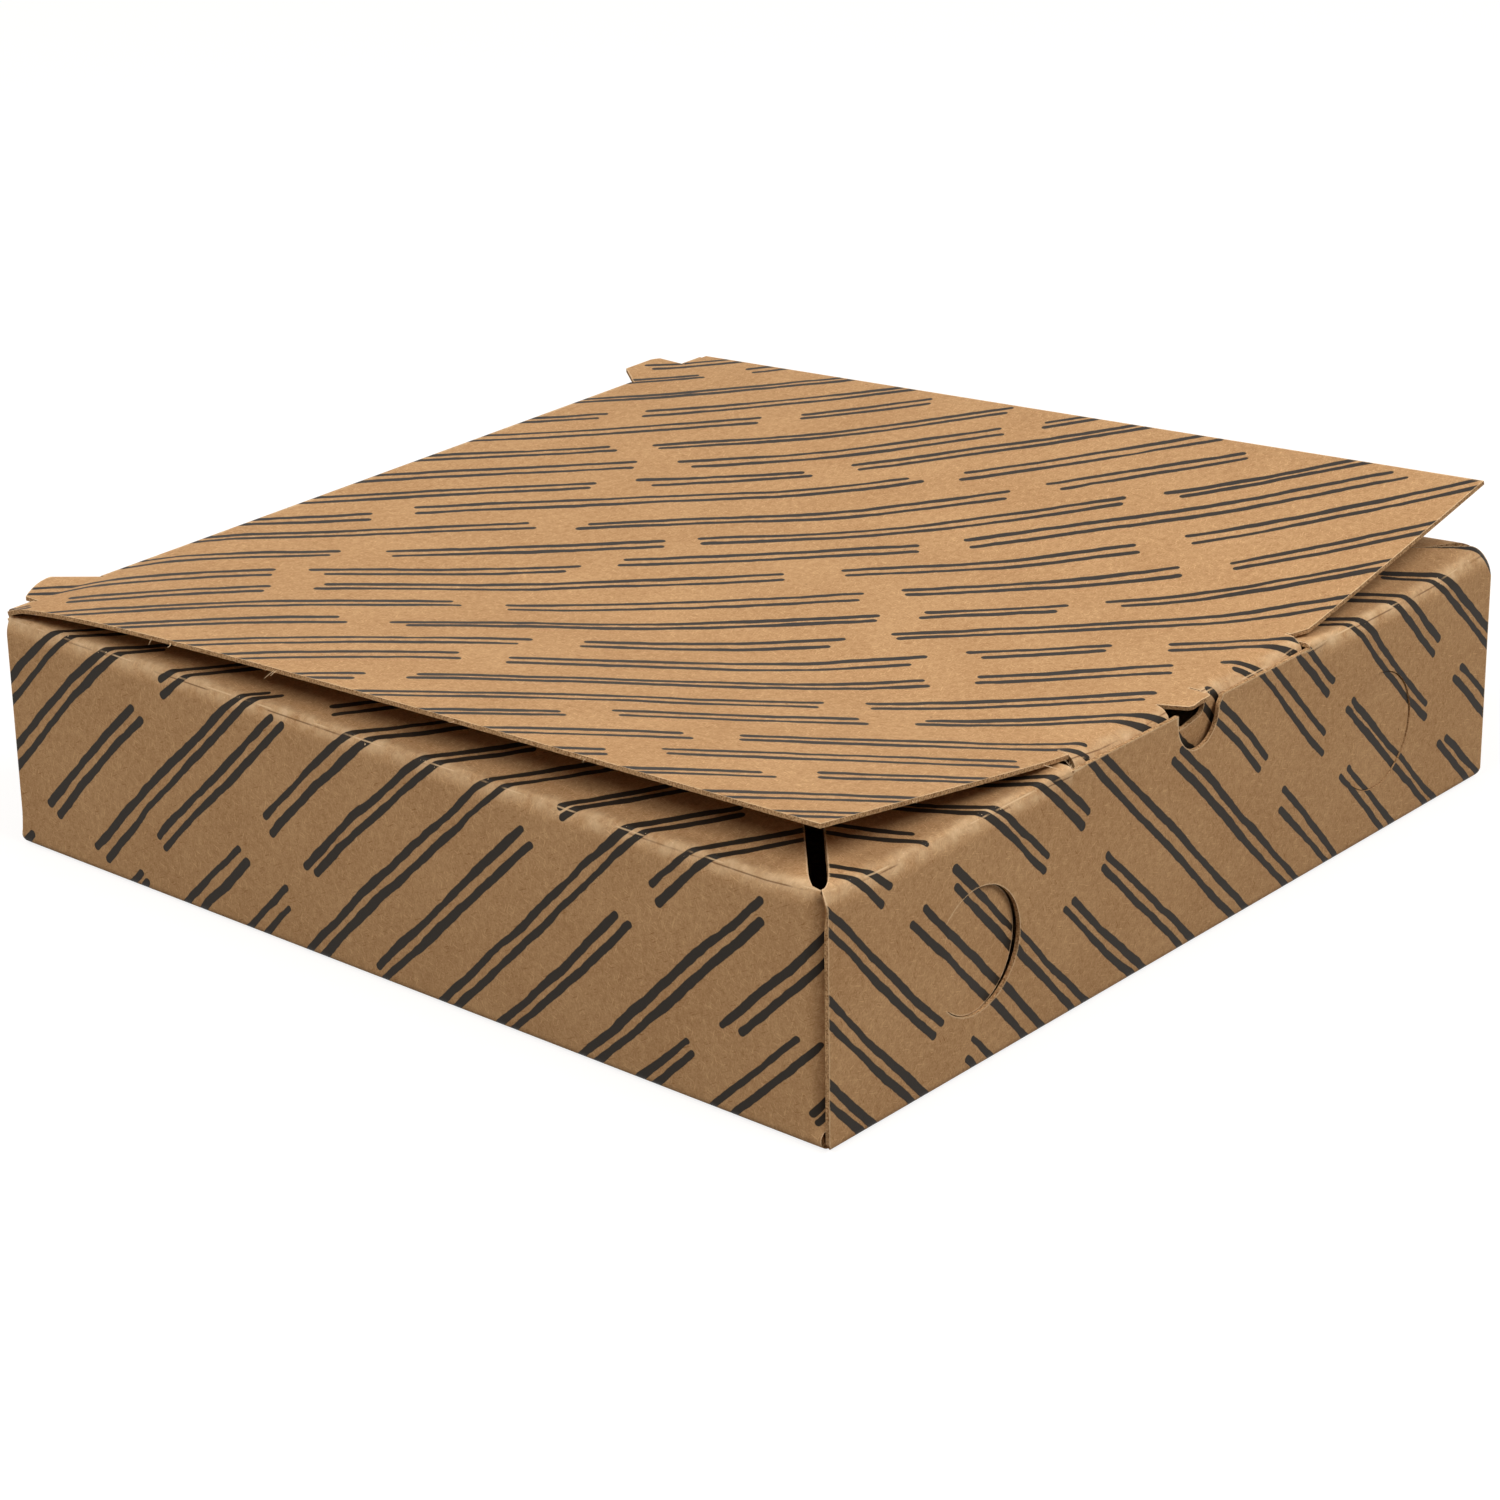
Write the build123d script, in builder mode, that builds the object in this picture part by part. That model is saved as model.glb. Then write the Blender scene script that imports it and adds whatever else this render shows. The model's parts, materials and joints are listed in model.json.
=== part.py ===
from build123d import *
import os
from math import radians, tan

# A small kraft pizza box, cut and folded from one sheet of board. Sizes are in millimetres.
# X runs along the lid's crease, the front wall faces -Y, the crease is at +Y and the base lies on Z = 0.

# Tray
box_width = 200.0  # outside, along the crease
box_depth = 200.0  # outside, front wall to rear wall
wall_height = 46.0  # table to the top of the rims
board = 0.8  # thickness of the sheet
base_fold_inside = 0.8  # inside radius of the folds round the base
rim_fold_inside = 2.8  # inside radius of the fold over a wall's top
rim_width = 24.0  # from a wall's outside face to its rim's inner edge
rim_droop = 3.0  # degrees that a rim falls towards the middle

# Corners
corner_slot_width = 2.7  # open mitre between two rims
corner_slot_inset = 3.2  # from a wall's outside face to the centre of the slot's round end
corner_seam = 0.45  # radius of the groove beside a wall's raw end
web_length = 22.0  # glued web behind the front and rear walls, from the side wall's outside face
web_clearance = 3.5  # from an ear's tip, as it swings inside, down to the webs' top

# Lid
lid_gap = 0.3  # between the rims and the lid's underside
crease_gap = 0.2  # between the crease line and the lid's rear edge
lid_side_inset = 0.6  # from a side wall's outside face to the lid's edge
lid_front_inset = 2.6  # from the front wall's outside face to the lid's front edge
lid_lift_left = 10.2  # how far the warped front corners stand off the rims
lid_lift_right = 13.8
ear_width = 16.0  # along the crease
ear_slope = 6.0  # how far an ear's inner side runs in towards the tip
ear_length = 6.5  # how far an ear stands behind the crease
ear_mitre_room = 1.5  # along the crease, between an ear's tip and the side rim's mitre
ear_clearance = 0.5  # round an ear as it passes through the rear wall

# Tuck tab
tab_width = 67.5
tab_depth = 18.0  # from the lid's top to the tab's lower edge
tab_fold_inside = 3.8  # inside radius of the bend
tab_lean = 5.0  # degrees that the tab leans in, so that it swings clear of the front wall
tab_clearance = 0.5  # behind the front wall, at the bend
tab_taper = 7.0  # how far each side runs in towards the lower edge
tab_taper_height = 9.0
tab_gap_left = 0.9  # from the tab to the cut end of the left front rim
tab_gap_right = 3.6  # from the tab to the cut end of the right front rim
lip_width = 15.0
lip_length = 6.3  # from the start of the bend to the lip's tip
lip_corner = 2.0
lip_kerf = 0.3
lip_hole_depth = 5.2  # from the lid's top to the lower end of the lip's hole

# Front wall
thumb_notch_radius = 6.2
thumb_notch_depth = 8.0
thumb_notch_offset = 1.8  # to the right of the middle
vent_side_inset = 39.0  # from a side wall's outside face to the nearer vent's centre
vent_drop = 0.8  # from the middle of the wall's height down to a vent's centre
vent_radius = 11.7
vent_chord = 7.8  # from a vent's centre to its uncut chord
vent_kerf = 0.3
vent_ajar_left = 3.5  # degrees that the left flap stands pushed in
vent_ajar_right = 0.5

# Places worked out from the sizes
half_width = box_width / 2
half_depth = box_depth / 2
base_fold = base_fold_inside + board
rim_fold = rim_fold_inside + board
tab_fold = tab_fold_inside + board
front_inside = -half_depth + board
rear_inside = half_depth - board
fold_start = wall_height - rim_fold * tan(radians(45 + rim_droop / 2))
fold_height = wall_height - fold_start
slot_reach = rim_width * 2
base_lap = base_fold * 2
web_top = wall_height - ear_length - web_clearance
ear_far = half_width - ear_length - ear_mitre_room
ear_near = ear_far - ear_width
vent_offset = half_width - vent_side_inset
vent_height = wall_height / 2 - vent_drop
lid_under = wall_height + lid_gap
lid_top = lid_under + board
lid_half = half_width - lid_side_inset
lid_rear = half_depth - crease_gap
lid_front = -half_depth + lid_front_inset
tab_half = tab_width / 2
tab_face = front_inside + tab_clearance
tab_bend = tab_fold * tan(radians(45 + tab_lean / 2))
tab_root = tab_face + 2 * tab_bend
tab_foot = lid_top - tab_depth
tab_foot_face = tab_face + tab_depth * tan(radians(tab_lean))
lip_root = tab_face + tab_bend
lid_stations = [(-lid_half, lid_lift_left), (-tab_half, 0), (tab_half, 0), (lid_half, lid_lift_right)]
opening_left = -tab_half - tab_gap_left
opening_right = tab_half + tab_gap_right
sides = (-1, 1)


def ear_outline(side, gap, straight):
    """An ear seen flat, with the crease at zero: grown by gap, its inner side sloping from straight on."""
    near = ear_near - gap
    far = ear_far + gap
    tip = ear_length + gap
    root = -2 * board
    corners = [(near, root), (far, root), (far, tip), (near + ear_slope, tip), (near, straight)]
    return [(side * x, y) for x, y in corners]


def vent_plane(centre, ajar):
    """A vent flap's inside face, from the middle of its chord, pushed in by ajar degrees."""
    along = Vector(1, 0, 0).rotate(Axis.Z, ajar)
    outward = Vector(0, -1, 0).rotate(Axis.Z, ajar)
    return Plane((centre - vent_chord, front_inside, vent_height), along, outward)


def vent_outline(kerf):
    """A round vent cut off at its chord, drawn from the chord's middle and shrunk by kerf."""
    with Locations((vent_chord, 0)):
        Circle(vent_radius - kerf)
    with Locations((kerf, 0)):
        Rectangle(2 * vent_radius, 2 * vent_radius, align=(Align.MIN, Align.CENTER), mode=Mode.INTERSECT)


def lip_outline(grow):
    """The lip seen from above, from the start of the tab's bend to its tip, grown by grow."""
    with Locations((thumb_notch_offset, lip_root)):
        Rectangle(lip_width + 2 * grow, lip_length + grow, align=(Align.CENTER, Align.MAX))


# Tray
with BuildPart() as tray:
    # Walls: one section with the fold at the base and the fold over the top, carried round the base
    with BuildLine() as wall_route:
        Polyline(
            (0, -half_depth),
            (half_width, -half_depth),
            (half_width, half_depth),
            (-half_width, half_depth),
            (-half_width, -half_depth),
            close=True,
        )
    with BuildSketch(Plane((0, -half_depth, 0), (0, 1, 0), (1, 0, 0))):
        with BuildLine():
            FilletPolyline(
                (base_lap, 0),
                (0, 0),
                (0, wall_height),
                (rim_width, wall_height - rim_width * tan(radians(rim_droop))),
                radius=[base_fold, rim_fold],
            )
            offset(amount=board, side=Side.RIGHT)
        make_face()
    sweep(path=wall_route.wires()[0], transition=Transition.RIGHT)

    # The rear wall has no rim: it stands up to the crease, and the side rims stop at a mitre before it
    with BuildSketch(Plane.XY.offset(fold_start)):
        Polygon(
            (-half_width, half_depth),
            (-half_width + slot_reach, half_depth - slot_reach),
            (half_width - slot_reach, half_depth - slot_reach),
            (half_width, half_depth),
            align=None,
        )
    extrude(amount=fold_height, mode=Mode.SUBTRACT)
    with BuildSketch(Plane.XY.offset(fold_start)):
        with Locations((0, half_depth)):
            Rectangle(box_width, board, align=(Align.CENTER, Align.MAX))
    extrude(amount=fold_height)

    # Base
    with BuildSketch():
        Rectangle(box_width - 2 * base_fold, box_depth - 2 * base_fold)
    extrude(amount=board)

    # Glued corner webs behind the front and rear walls
    with BuildSketch(Plane.XY.offset(board)):
        for side in sides:
            for wall in (front_inside + board / 2, rear_inside - board / 2):
                with Locations((side * (half_width - (web_length + board) / 2), wall)):
                    Rectangle(web_length - board, board)
    extrude(amount=web_top - board)

    # Grooves beside the raw ends of the front and rear walls
    with BuildSketch(Plane.XY.offset(base_fold)):
        with GridLocations(box_width, 2 * (rear_inside - corner_seam), 2, 2):
            Circle(corner_seam)
    extrude(amount=fold_start - base_fold, mode=Mode.SUBTRACT)

    # Open mitres between the front rim and the side rims
    for side in sides:
        slot_end = (side * (half_width - corner_slot_inset), -half_depth + corner_slot_inset)
        slot_middle = (side * (half_width - slot_reach), -half_depth + slot_reach)
        with BuildSketch(Plane.XY.offset(fold_start)):
            SlotCenterPoint(slot_middle, slot_end, corner_slot_width)
        extrude(amount=fold_height, mode=Mode.SUBTRACT)

    # The front rim is cut away over the tuck tab, where the wall stands up to a raw edge
    with BuildSketch(Plane.XY.offset(fold_start)):
        with Locations((opening_left, -half_depth)):
            Rectangle(opening_right - opening_left, slot_reach, align=Align.MIN)
    extrude(amount=fold_height, mode=Mode.SUBTRACT)
    with BuildSketch(Plane.XY.offset(fold_start)):
        with Locations((opening_left, -half_depth)):
            Rectangle(opening_right - opening_left, board, align=Align.MIN)
    extrude(amount=fold_height)

    # Thumb notch
    with BuildSketch(Plane.XZ.offset(half_depth)):
        with Locations((thumb_notch_offset, wall_height - thumb_notch_depth + thumb_notch_radius)):
            Circle(thumb_notch_radius)
            Rectangle(2 * thumb_notch_radius, thumb_notch_depth, align=(Align.CENTER, Align.MIN))
    extrude(amount=-board, mode=Mode.SUBTRACT)

    # Holes of the two vents
    for centre in (-vent_offset, vent_offset):
        with BuildSketch(vent_plane(centre, 0)):
            vent_outline(0)
        extrude(amount=board, mode=Mode.SUBTRACT)

    # Notches that the ears leave in the rear wall, seen from behind with the crease upwards
    with BuildSketch(Plane((0, half_depth, wall_height), (1, 0, 0), (0, 1, 0))):
        for side in sides:
            Polygon(*ear_outline(side, ear_clearance, lid_top - wall_height), align=None)
    extrude(amount=-board, mode=Mode.SUBTRACT)

# Lid
with BuildPart() as lid:
    # Panel: level along the crease and behind the tab, with each wing rising to its lifted front corner
    for (x_left, lift_left), (x_right, lift_right) in zip(lid_stations, lid_stations[1:]):
        for y, share in ((lid_rear, 0), (lid_front, 1)):
            with BuildSketch(Plane.XZ.offset(-y)):
                Polygon(
                    (x_left, lid_under + share * lift_left),
                    (x_right, lid_under + share * lift_right),
                    (x_right, lid_top + share * lift_right),
                    (x_left, lid_top + share * lift_left),
                    align=None,
                )
        loft(ruled=True)

    # Tuck tab, bent down behind the front wall
    with BuildSketch(Plane.XY.offset(lid_under)):
        with Locations((0, tab_root)):
            Rectangle(tab_width, tab_root - lid_front, align=(Align.CENTER, Align.MAX))
    extrude(amount=board, mode=Mode.SUBTRACT)
    with BuildSketch(Plane.YZ.offset(-tab_half)):
        with BuildLine():
            FilletPolyline(
                (tab_root, lid_top),
                (tab_face, lid_top),
                (tab_foot_face, tab_foot),
                radius=[tab_fold],
            )
            offset(amount=board, side=Side.LEFT)
        make_face()
    extrude(amount=tab_width)
    for side in sides:
        with BuildSketch(Plane.XZ.offset(-tab_face)):
            Polygon(
                (side * tab_half, tab_foot + tab_taper_height),
                (side * tab_half, tab_foot - board),
                (side * (tab_half - tab_taper), tab_foot - board),
                align=None,
            )
        extrude(amount=-tab_depth, mode=Mode.SUBTRACT)

    # Lip left standing over the bend, and its hole
    with BuildSketch(Plane.XY.offset(lid_top)):
        lip_outline(lip_kerf)
    extrude(amount=-lip_hole_depth, mode=Mode.SUBTRACT)
    with BuildSketch(Plane.XY.offset(lid_under)) as lip:
        lip_outline(0)
        fillet(lip.vertices().group_by(Axis.Y)[0], radius=lip_corner)
    extrude(amount=board)

    # Ears behind the crease
    with BuildSketch(Plane.XY.offset(lid_under)):
        with Locations((0, half_depth)):
            for side in sides:
                Polygon(*ear_outline(side, 0, 0), align=None)
    extrude(amount=board)

# Vent flaps
with BuildPart() as vent_flap_left:
    with BuildSketch(vent_plane(-vent_offset, vent_ajar_left)):
        vent_outline(vent_kerf)
    extrude(amount=board)

with BuildPart() as vent_flap_right:
    with BuildSketch(vent_plane(vent_offset, vent_ajar_right)):
        vent_outline(vent_kerf)
    extrude(amount=board)

os.makedirs("parts", exist_ok=True)
tray.part.label = "tray"
lid.part.label = "lid"
vent_flap_left.part.label = "vent_flap_left"
vent_flap_right.part.label = "vent_flap_right"
for piece in (tray, lid, vent_flap_left, vent_flap_right):
    export_step(piece.part, f"parts/{piece.part.label}.step")
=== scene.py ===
import json
import math
from functools import partial

import bpy
import numpy as np
from mathutils import Matrix, Vector
from mathutils.geometry import delaunay_2d_cdt


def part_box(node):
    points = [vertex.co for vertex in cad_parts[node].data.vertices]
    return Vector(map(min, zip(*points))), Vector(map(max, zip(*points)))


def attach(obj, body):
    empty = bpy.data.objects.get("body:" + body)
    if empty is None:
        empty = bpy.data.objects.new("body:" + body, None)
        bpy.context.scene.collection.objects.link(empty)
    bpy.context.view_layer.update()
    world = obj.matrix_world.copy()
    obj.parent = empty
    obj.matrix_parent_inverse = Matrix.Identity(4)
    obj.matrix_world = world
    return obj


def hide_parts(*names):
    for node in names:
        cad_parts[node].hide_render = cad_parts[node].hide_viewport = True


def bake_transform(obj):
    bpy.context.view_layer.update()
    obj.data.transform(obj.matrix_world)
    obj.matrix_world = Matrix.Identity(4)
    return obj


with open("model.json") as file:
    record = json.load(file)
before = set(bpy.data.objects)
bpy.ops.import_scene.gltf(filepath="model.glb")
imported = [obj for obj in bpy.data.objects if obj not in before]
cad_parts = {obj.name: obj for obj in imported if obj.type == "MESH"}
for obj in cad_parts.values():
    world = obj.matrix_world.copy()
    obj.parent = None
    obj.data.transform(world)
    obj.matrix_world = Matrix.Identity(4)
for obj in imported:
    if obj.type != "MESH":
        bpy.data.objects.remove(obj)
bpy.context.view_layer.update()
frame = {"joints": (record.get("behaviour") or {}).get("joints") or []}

# The box is one sheet of kraft board, so it is cut flat here and folded by formula.
# Flat places are (s, t) in metres on the printed face: s runs along the lid's crease, t from the front to
# the crease and on into the lid, and the middle of the base is zero. The print is drawn in (s, t) as well,
# so its strokes run on over every fold and every cut.

MM = 0.001
QUARTER = math.pi / 2
ROOT2 = math.sqrt(2)
sharp_angle = math.radians(50)  # edges that turn by more are drawn sharp
far_off = 1.0  # a distance from folds and cuts beyond which the worn bands, the painted sheen and the painted groove shade all stop

# Sizes read from the frame
joints = {joint["name"]: joint for joint in frame["joints"]}
tray_low, tray_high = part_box("tray")
lid_low, lid_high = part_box("lid")
half_width, half_depth, wall_height = tray_high
board = joints["vent_left_hinge"]["pos_m"][1] - tray_low.y

# Tray
base_fold = 1.6 * MM  # outside radius of the folds round the base
rim_curve = 6 * MM  # outside radius at which a wall's top curves in, and how far it does
rim_ease = math.radians(32)
rim_fold = 1.2 * MM  # outside radius of the tight fold that follows
rim_width = 24 * MM  # from a wall's outside face to its rim's inner edge
rim_droop = math.radians(3)
wall_bow = 0.35 * MM  # how far a wall swells between its folds

# Corners
slot_front = 1.35 * MM  # how far the front rim and a side rim draw back from their mitre to leave a slot
slot_side = 1.8 * MM
slot_shift = 0.9 * MM  # how far the mitre lies off the diagonal, behind the front wall's thickness
slot_turn = 0.05  # how fast it comes back to it
slot_inset = 1.0 * MM  # from a wall's outside face to the slot's tip
slot_point = 7 * MM  # length of the slot's pointed end
seam = 0.05 * MM  # between sheets that touch
front_corner_fold = 3.4 * MM  # outside radii of the folds from a side wall into its glued webs
rear_corner_fold = 0.9 * MM
front_corner_gap = 1.0 * MM  # between a front web and the front wall: a groove beside that wall's raw end
rear_half = half_width - 2 * MM  # from the middle to the rear wall's ends
corner_lift_left = 1.0 * MM  # how far the front corners are pushed up
corner_lift_right = 1.5 * MM
push_from_left = 85 * MM  # from the middle to where that push starts, and to where it is full
push_from_right = 70 * MM
push_full = 100 * MM
push_full_side = 102 * MM  # along the right wall
corner_swell = 1.4 * MM  # how much wider the tight fold is at the right one
corner_crush = 2.6 * MM  # how far the right one's tip is pressed down
crush_from = 96 * MM  # from the middle to where that starts, how far it runs on, and how far down it goes
crush_run = 4 * MM
crush_drop = 8 * MM
front_corner_ease = 3 * MM  # below the top folds, the stretch over which those folds open out
rear_corner_ease = 0.5 * MM
corner_foot = 3 * MM  # above the base fold, the stretch over which that one opens out
least_turn = 0.02  # share of a corner's turn that is left at the folds
rim_spring_left = 0.95  # share of the room below the lid's wings that the left and front rims spring up into
rim_spring_right = 0.66  # the same on the right, where only the front rim does
spring_inset = 1 * MM  # from a wall's outside face to where the spring starts, and how softly it does
spring_soft = 1.5 * MM
rim_settle = 12 * MM  # along the front wall, from the opening to where its top curves in fully
web_low = 3 * MM
web_top = 36 * MM
web_length = 22 * MM
web_chamfer = 4 * MM

# Front wall
opening_left = -34.65 * MM  # ends of the stretch without a rim
opening_right = 37.35 * MM
slit = 0.12 * MM  # half the width of a plain cut
notch_radius = 6.2 * MM
notch_depth = 8 * MM
notch_middle = 2.5 * MM
notch_flare = 1.3 * MM  # how far its right side leans out at the top
vent_kerf = 0.16 * MM
vent_chord = 7.8 * MM  # from a vent's centre to its uncut chord
vent_low, vent_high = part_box("vent_flap_left")
vent_radius = (vent_high.z - vent_low.z) / 2 + vent_kerf
vent_z = (vent_high.z + vent_low.z) / 2
crease_half = 0.5 * MM  # half the width of the bending strip at a vent's chord
vent_margin = 0.8 * MM  # the tray's lattice leaves out the points nearer a vent's cut than this

# Lid
lid_gap = 0.3 * MM
lid_top = wall_height + lid_gap + board
lid_half = lid_high.x
lid_front = -half_depth + 2.6 * MM
lift_left = 10.2 * MM  # how far the warped front corners stand off the rims
lift_right = lid_high.z - lid_top - 0.5 * MM
lift_swell = 2.6 * MM  # how far the left edge swells above a straight line
wing_soft = 0.1  # width of the soft corner at the tab's end, as a share of a wing's width
lid_skew = 1.8 * MM  # how far the front of the lid has slipped to the right
skew_lean = 0.17  # share of that lost at the right edge and gained at the left, and share lost at both
skew_fade = 0.67
hinge_fold = 1.0 * MM  # outside radius of the lid's crease
hinge_run = 0.4 * MM  # straight board on each side of the crease's bend
hinge_top = lid_top - hinge_fold - hinge_run  # height at which the rear wall passes into the crease
ear_near = 76 * MM  # from the middle to an ear's sloping side, and to its straight side
ear_far = 92 * MM
ear_slope = 6 * MM
ear_tip = lid_high.y
ear_clearance = 0.5 * MM
ear_wear_left = 9 * MM  # how far along an ear's tip its worn corner goes
ear_wear_right = 2 * MM
ear_drop = 7 * MM  # depth of the notch that an ear leaves in the rear wall

# Tuck tab
tab_left = -33.75 * MM
tab_right = 35.7 * MM
tab_fold = 4.6 * MM  # outside radius of the tab's bend
tab_lean = math.radians(5)
tab_face = -half_depth + board + 0.5 * MM
tab_taper = 7 * MM
tab_taper_height = 9 * MM
tab_slit = 1.2 * MM  # from the start of the bend to the inner ends of the cuts beside the tab
wing_chamfer_left = 0.2 * MM  # at the wings' corners beside the tab
wing_chamfer_right = 1.7 * MM
lip_left = -5.7 * MM
lip_right = 4.0 * MM
lip_root = 1.8 * MM  # from the start of the bend to the lip's root
lip_length = 6.7 * MM  # from the start of the bend to the lip's tip
lip_corner = 1.0 * MM
lip_slope = 3.2 * MM  # how far the lip's left side runs in towards the tip
lip_dent = 3.3 * MM  # along the tip, the part of the left corner that is bent down
lip_dent_turn = math.radians(14)
lip_hole = 8.6 * MM  # from the start of the bend to the end of the lip's hole, measured flat
lip_kerf = 0.3 * MM
lip_crest = 3.5 * MM  # how late the bend starts to the right of the lip
lip_ease = (1 * MM, 8 * MM)  # distances from the lip at which its late bend starts to end, and has ended
lip_haste = 2  # how many times sooner it ends to the right of the lip
end_ease = (1 * MM, 9 * MM)  # the same distances from the tab's ends
crest_ease = (3 * MM, 9 * MM)  # the same from the lip's right side, for the latest bend
hole_corner = 1.5 * MM

# Lengths along the folded section of a wall, from the start of its base fold
base_half = np.array([half_width - base_fold, half_depth - base_fold])
base_arc = base_fold * QUARTER
fold_start = wall_height - rim_curve * math.sin(rim_ease) - rim_fold * (1 - math.sin(rim_ease))
top_fold = base_arc + fold_start - base_fold
crest = top_fold + rim_curve * rim_ease
rim_turn = QUARTER + rim_droop - rim_ease
rim_level = crest + rim_fold * rim_turn
front_reach = half_depth - board - front_corner_gap
rear_reach = half_depth - board - seam
wall_bends = [(0, base_fold, QUARTER), (top_fold, rim_curve, rim_ease), (crest, rim_fold, rim_turn)]
plain_bends = wall_bends[:1]

# Lengths along the lid, from the end of its crease
lid_start = half_depth - hinge_fold - hinge_run
tab_bend_start = tab_face + tab_fold * math.tan(math.pi / 4 + tab_lean / 2)
tab_root = lid_start - tab_bend_start
tab_turn = QUARTER + tab_lean
tab_end = tab_root + tab_fold * tab_turn
tab_end += (lid_top - lid_low.z - tab_fold * (1 - math.cos(tab_turn))) / math.cos(tab_lean)
wing_end = lid_start - lid_front


def rise(values, low, high):
    """Smooth step: 0 up to low, 1 from high on, 3x^2 - 2x^3 between."""
    x = np.clip((values - low) / (high - low), 0, 1)
    return x * x * (3 - 2 * x)


def folded(length, bends):
    """Section of a folded sheet: how far out and how far up each length along it lies.

    It sets off level, and each bend (start, radius, turn) swings its heading at 1 / radius from start on
    until it has turned by turn. Straight runs add length times heading, arcs add radius times the change of
    its sine or cosine."""
    passed = min(0, length.min())
    out, up, heading = passed, 0.0, 0.0
    for start, radius, turn in bends:
        run = np.clip(length, passed, start) - passed
        swung = heading + np.clip((length - start) / radius, 0, turn)
        out = out + run * np.cos(heading) + radius * (np.sin(swung) - np.sin(heading))
        up = up + run * np.sin(heading) + radius * (np.cos(heading) - np.cos(swung))
        passed = start + radius * turn
        heading = heading + turn
    run = np.maximum(length - passed, 0)
    return np.array([out + run * np.cos(heading), up + run * np.sin(heading)])


def wall_length(height):
    """Length along a wall's section at a height between its folds."""
    return base_arc + height - base_fold


def rim_length(inset):
    """Length along a wall's section at which its rim lies inset behind the wall's outside face."""
    fine = 200
    length = np.append(np.linspace(top_fold, rim_level, fine), rim_level + 2 * rim_width)
    return np.interp(inset, base_fold - folded(length, wall_bends)[0], length)


def corner_tightness(length, ease):
    """How far a side wall turns into its web at each length up the wall: 1 along the web, 0 at the folds."""
    free = rise(length, base_arc, base_arc + corner_foot) * rise(-length, -crest, ease - crest)
    return np.maximum(free, least_turn)


crease_length = 2 * hinge_run + hinge_fold * QUARTER
crease_t = base_half[1] + wall_length(hinge_top)  # flat places of the start and end of the lid's crease
lid_t = crease_t + crease_length


def cut(*parts):
    """Corner points of a cut line, from single points and runs of points."""
    return np.concatenate([np.atleast_2d(np.asarray(part, float)) for part in parts])


def arc(middle, radius, first, last, count):
    """Points on a circle about middle, from the angle first to the angle last."""
    angle = np.linspace(first, last, count)
    return np.stack([middle[0] + radius * np.cos(angle), middle[1] + radius * np.sin(angle)], 1)


def upright(s, lengths):
    """Points at one s and at each of the lengths."""
    return np.stack([np.full(len(lengths), s), lengths], 1)


def divided(loop, step):
    """A closed cut line with its long edges divided evenly into parts no longer than step."""
    edge = np.roll(loop, -1, axis=0) - loop
    parts = np.maximum(1, np.ceil(np.linalg.norm(edge, axis=1) / step).astype(int))
    owner = np.repeat(np.arange(len(loop)), parts)
    share = (np.arange(len(owner)) - np.repeat(np.cumsum(parts) - parts, parts)) / parts[owner]
    return loop[owner] + edge[owner] * share[:, None]


def stations(*runs):
    """Places along one axis of the sheet: runs of (first, last, step), each evenly divided."""
    parts = [np.linspace(a, b, math.ceil(abs(b - a) / step) + 1) for a, b, step in runs]
    return np.unique(np.round(np.concatenate(parts), 7))


def lattice(across, along):
    """Every pair of an across place and an along place."""
    return np.stack(np.meshgrid(across, along), -1).reshape(-1, 2)


def segments(loops):
    """Starts and ends of all edges of closed cut lines."""
    return np.concatenate(loops), np.concatenate([np.roll(loop, -1, axis=0) for loop in loops])


def within(points, loops):
    """Whether each point lies on a sheet: it does if a ray from it crosses the sheet's cut lines an odd
    number of times."""
    x, y = points.T[:, :, None]
    (x1, y1), (x2, y2) = (ends.T for ends in segments(loops))
    spans = (y1 > y) != (y2 > y)
    slope = np.divide(x2 - x1, y2 - y1, out=np.zeros_like(x1), where=y1 != y2)
    return (spans & (x < x1 + (y - y1) * slope)).sum(axis=1) % 2 == 1


def cut_sheet(loops, grid, step):
    """Flat points and triangles of a sheet: the Delaunay mesh of its cut lines, divided to step, and of its
    grid, less the triangles that are cut away."""
    lines = [divided(loop, step) for loop in loops]
    first = np.cumsum([0] + [len(line) for line in lines])
    rings = [np.arange(a, b) for a, b in zip(first, first[1:])]
    edges = np.concatenate([np.stack([ring, np.roll(ring, -1)], 1) for ring in rings])
    points = np.concatenate([*lines, grid]) / MM
    inside, merge = 1, 1e-5  # triangles inside the lines, and points this near, in mm, become one
    found = delaunay_2d_cdt(points.tolist(), edges.tolist(), [], inside, merge, False)
    flat, triangles = np.array(found[0]) * MM, np.array(found[2])
    triangles = triangles[within(flat[triangles].mean(axis=1), loops)]
    used, triangles = np.unique(triangles, return_inverse=True)
    return flat[used], triangles.reshape(-1, 3)


def cut_distance(points, loops, joined):
    """Distance of each point from the nearest raw cut. The edges of the loops are straight segments, and
    those along a line of joined, as (axis, place), aren't raw: the sheet goes on there in another piece."""
    same, least = 1e-7, 1e-18
    start, stop = segments(loops)
    for axis, place in joined:
        raw = (np.abs(start[:, axis] - place) > same) | (np.abs(stop[:, axis] - place) > same)
        start, stop = start[raw], stop[raw]
    run = stop - start
    away = points[:, None] - start
    share = np.clip((away * run).sum(axis=2) / np.maximum((run * run).sum(axis=1), least), 0, 1)
    return np.linalg.norm(away - share[:, :, None] * run, axis=2).min(axis=1)


def sheet_normals(places, triangles):
    """Unit normal at each point: its triangles' normals, weighed by their areas."""
    a, b, c = places[triangles].transpose(1, 0, 2)
    total = np.zeros_like(places)
    np.add.at(total, triangles.ravel(), np.repeat(np.cross(b - a, c - a), 3, axis=0))
    return total / np.linalg.norm(total, axis=1, keepdims=True)


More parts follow.
